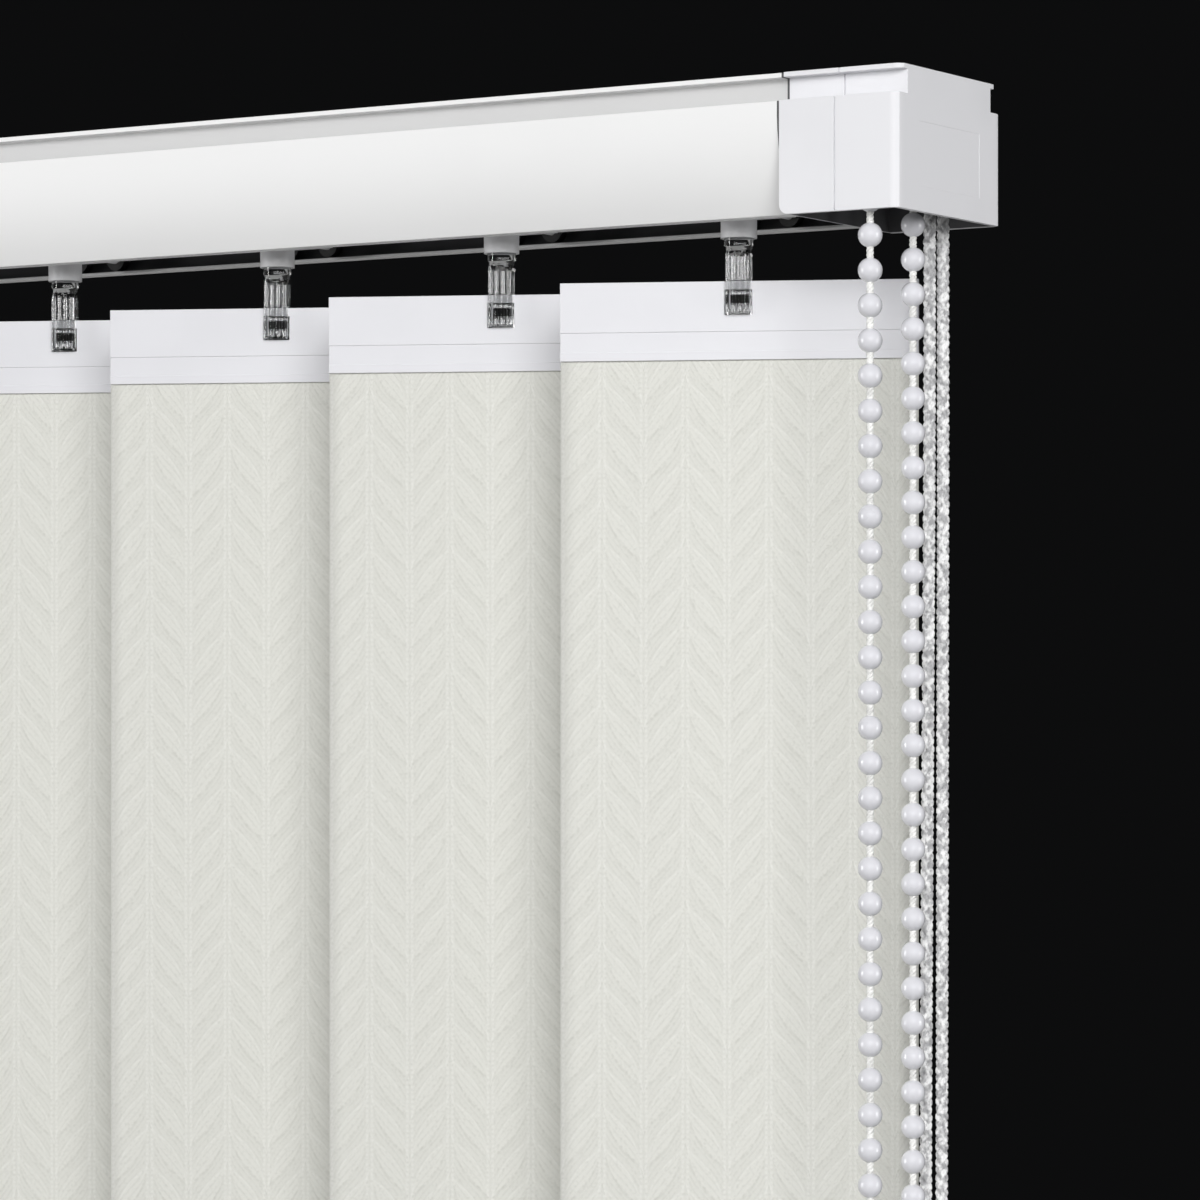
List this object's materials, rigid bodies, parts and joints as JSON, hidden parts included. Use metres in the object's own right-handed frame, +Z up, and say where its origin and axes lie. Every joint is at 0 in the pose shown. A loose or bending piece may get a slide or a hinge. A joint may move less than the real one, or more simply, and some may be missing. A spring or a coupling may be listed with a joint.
{
  "type": "vertical blind",
  "caption": "Vertical blind: an extruded headrail with fabric vanes on clear geared hooks, a bead chain that tilts them and a draw cord that gathers them to the control end.",
  "frame": {"origin": "middle of the headrail's top face, where it meets the ceiling or its brackets", "axes": "+X along the headrail towards the control end, +Y to the back, +Z up out of the top face"},
  "size_m": [0.465, 0.0526, 0.76],
  "materials": {
    "rail_white": "white powder coat on extruded aluminium",
    "end_white": "moulded white plastic",
    "carrier_white": "moulded white acetal",
    "wheel_grey": "moulded pale acetal",
    "hook_clear": "clear moulded plastic",
    "hanger_white": "extruded white plastic",
    "fabric_cream": "cream jacquard cloth",
    "weight_grey": "coated weight plate",
    "bead_white": "glossy white beads",
    "cord_white": "braided silvery white cord",
    "steel": "bright steel",
    "rod_aluminium": "drawn aluminium"
  },
  "bodies": {
    "root": {"headrail": "rail_white", "control_housing": "end_white", "end_cover": "end_white", "idle_end_cap": "end_white", "bead_chain": "bead_white", "pulley_pin": "steel", "idle_pulley_pin": "steel", "rail_cord": "cord_white", "front_strand": "cord_white", "rear_strand": "cord_white", "cord_weight": "end_white", "carrier_1": "carrier_white", "spacer_strip_1": "steel"},
    "tilt_drive": {"tilt_rod": "rod_aluminium", "chain_wheel": "wheel_grey"},
    "front_pulley": {"front_pulley": "wheel_grey"},
    "rear_pulley": {"rear_pulley": "wheel_grey"},
    "idle_pulley": {"idle_pulley": "wheel_grey"},
    "carrier_2": {"carrier_2": "carrier_white", "spacer_strip_2": "steel"},
    "carrier_3": {"carrier_3": "carrier_white", "spacer_strip_3": "steel"},
    "carrier_4": {"carrier_4": "carrier_white", "spacer_strip_4": "steel"},
    "carrier_5": {"carrier_5": "carrier_white", "spacer_strip_5": "steel"},
    "carrier_6": {"carrier_6": "carrier_white"},
    "vane_1": {"hook_1": "hook_clear", "hanger_1": "hanger_white", "vane_1": "fabric_cream", "foot_weight_1": "weight_grey"},
    "worm_1": {"worm_1": "wheel_grey"},
    "vane_2": {"hook_2": "hook_clear", "hanger_2": "hanger_white", "vane_2": "fabric_cream", "foot_weight_2": "weight_grey"},
    "worm_2": {"worm_2": "wheel_grey"},
    "vane_3": {"hook_3": "hook_clear", "hanger_3": "hanger_white", "vane_3": "fabric_cream", "foot_weight_3": "weight_grey"},
    "worm_3": {"worm_3": "wheel_grey"},
    "vane_4": {"hook_4": "hook_clear", "hanger_4": "hanger_white", "vane_4": "fabric_cream", "foot_weight_4": "weight_grey"},
    "worm_4": {"worm_4": "wheel_grey"},
    "vane_5": {"hook_5": "hook_clear", "hanger_5": "hanger_white", "vane_5": "fabric_cream", "foot_weight_5": "weight_grey"},
    "worm_5": {"worm_5": "wheel_grey"},
    "vane_6": {"hook_6": "hook_clear", "hanger_6": "hanger_white", "vane_6": "fabric_cream", "foot_weight_6": "weight_grey"},
    "worm_6": {"worm_6": "wheel_grey"}
  },
  "joints": [
    {"name": "carrier_2_slide", "type": "slide", "parent": "root", "child": "carrier_2", "axis": [1, 0, 0], "range_m": [0, 0.048]},
    {"name": "carrier_3_slide", "type": "slide", "parent": "root", "child": "carrier_3", "axis": [1, 0, 0], "range_m": [0, 0.096]},
    {"name": "carrier_4_slide", "type": "slide", "parent": "root", "child": "carrier_4", "axis": [1, 0, 0], "range_m": [0, 0.144]},
    {"name": "carrier_5_slide", "type": "slide", "parent": "root", "child": "carrier_5", "axis": [1, 0, 0], "range_m": [0, 0.192]},
    {"name": "carrier_6_slide", "type": "slide", "parent": "root", "child": "carrier_6", "axis": [1, 0, 0], "range_m": [0, 0.24]},
    {"name": "vane_1_tilt", "type": "hinge", "parent": "root", "child": "vane_1", "pos_m": [0.1735, 0, -0.0365], "axis": [0, 0, 1], "range_deg": [-10, 142]},
    {"name": "worm_1_turn", "type": "hinge", "parent": "root", "child": "worm_1", "pos_m": [0.1735, -0.0108, -0.02125], "axis": [1, 0, 0], "range_deg": [-2130, 150]},
    {"name": "vane_2_tilt", "type": "hinge", "parent": "carrier_2", "child": "vane_2", "pos_m": [0.1035, 0, -0.0365], "axis": [0, 0, 1], "range_deg": [-10, 142]},
    {"name": "worm_2_turn", "type": "hinge", "parent": "carrier_2", "child": "worm_2", "pos_m": [0.1035, -0.0108, -0.02125], "axis": [1, 0, 0], "range_deg": [-2130, 150]},
    {"name": "vane_3_tilt", "type": "hinge", "parent": "carrier_3", "child": "vane_3", "pos_m": [0.0335, 0, -0.0365], "axis": [0, 0, 1], "range_deg": [-10, 142]},
    {"name": "worm_3_turn", "type": "hinge", "parent": "carrier_3", "child": "worm_3", "pos_m": [0.0335, -0.0108, -0.02125], "axis": [1, 0, 0], "range_deg": [-2130, 150]},
    {"name": "vane_4_tilt", "type": "hinge", "parent": "carrier_4", "child": "vane_4", "pos_m": [-0.0365, 0, -0.0365], "axis": [0, 0, 1], "range_deg": [-10, 142]},
    {"name": "worm_4_turn", "type": "hinge", "parent": "carrier_4", "child": "worm_4", "pos_m": [-0.0365, -0.0108, -0.02125], "axis": [1, 0, 0], "range_deg": [-2130, 150]},
    {"name": "vane_5_tilt", "type": "hinge", "parent": "carrier_5", "child": "vane_5", "pos_m": [-0.1065, 0, -0.0365], "axis": [0, 0, 1], "range_deg": [-10, 142]},
    {"name": "worm_5_turn", "type": "hinge", "parent": "carrier_5", "child": "worm_5", "pos_m": [-0.1065, -0.0108, -0.02125], "axis": [1, 0, 0], "range_deg": [-2130, 150]},
    {"name": "vane_6_tilt", "type": "hinge", "parent": "carrier_6", "child": "vane_6", "pos_m": [-0.1765, 0, -0.0365], "axis": [0, 0, 1], "range_deg": [-10, 142]},
    {"name": "worm_6_turn", "type": "hinge", "parent": "carrier_6", "child": "worm_6", "pos_m": [-0.1765, -0.0108, -0.02125], "axis": [1, 0, 0], "range_deg": [-2130, 150]},
    {"name": "tilt_drive_turn", "type": "hinge", "parent": "root", "child": "tilt_drive", "pos_m": [0.2225, -0.0108, -0.02125], "axis": [1, 0, 0], "range_deg": [-2130, 150], "deforming": ["bead_chain"]},
    {"name": "rear_pulley_turn", "type": "hinge", "parent": "root", "child": "rear_pulley", "pos_m": [0.2152, 0.0171, -0.0203], "axis": [0, 1, 0], "range_deg": [0, 2184]},
    {"name": "front_pulley_turn", "type": "hinge", "parent": "root", "child": "front_pulley", "pos_m": [0.2152, 0.0102, -0.0203], "axis": [0, 1, 0], "range_deg": [-2184, 0]},
    {"name": "idle_pulley_turn", "type": "hinge", "parent": "root", "child": "idle_pulley", "pos_m": [-0.2075, 0.0108, -0.014], "axis": [0, 0, 1], "range_deg": [-2184, 0]}
  ],
  "couplings": [
    {"joint": "carrier_2_slide", "follows": "carrier_6_slide", "ratio": 0.2},
    {"joint": "carrier_3_slide", "follows": "carrier_6_slide", "ratio": 0.4},
    {"joint": "carrier_4_slide", "follows": "carrier_6_slide", "ratio": 0.6},
    {"joint": "carrier_5_slide", "follows": "carrier_6_slide", "ratio": 0.8},
    {"joint": "worm_1_turn", "follows": "vane_1_tilt", "ratio": -15},
    {"joint": "vane_2_tilt", "follows": "vane_1_tilt", "ratio": 1},
    {"joint": "worm_2_turn", "follows": "vane_1_tilt", "ratio": -15},
    {"joint": "vane_3_tilt", "follows": "vane_1_tilt", "ratio": 1},
    {"joint": "worm_3_turn", "follows": "vane_1_tilt", "ratio": -15},
    {"joint": "vane_4_tilt", "follows": "vane_1_tilt", "ratio": 1},
    {"joint": "worm_4_turn", "follows": "vane_1_tilt", "ratio": -15},
    {"joint": "vane_5_tilt", "follows": "vane_1_tilt", "ratio": 1},
    {"joint": "worm_5_turn", "follows": "vane_1_tilt", "ratio": -15},
    {"joint": "vane_6_tilt", "follows": "vane_1_tilt", "ratio": 1},
    {"joint": "worm_6_turn", "follows": "vane_1_tilt", "ratio": -15},
    {"joint": "tilt_drive_turn", "follows": "vane_1_tilt", "ratio": -15},
    {"joint": "rear_pulley_turn", "follows": "carrier_6_slide", "rad_per_m": 158.73},
    {"joint": "front_pulley_turn", "follows": "carrier_6_slide", "rad_per_m": -158.73},
    {"joint": "idle_pulley_turn", "follows": "carrier_6_slide", "rad_per_m": -158.73}
  ]
}
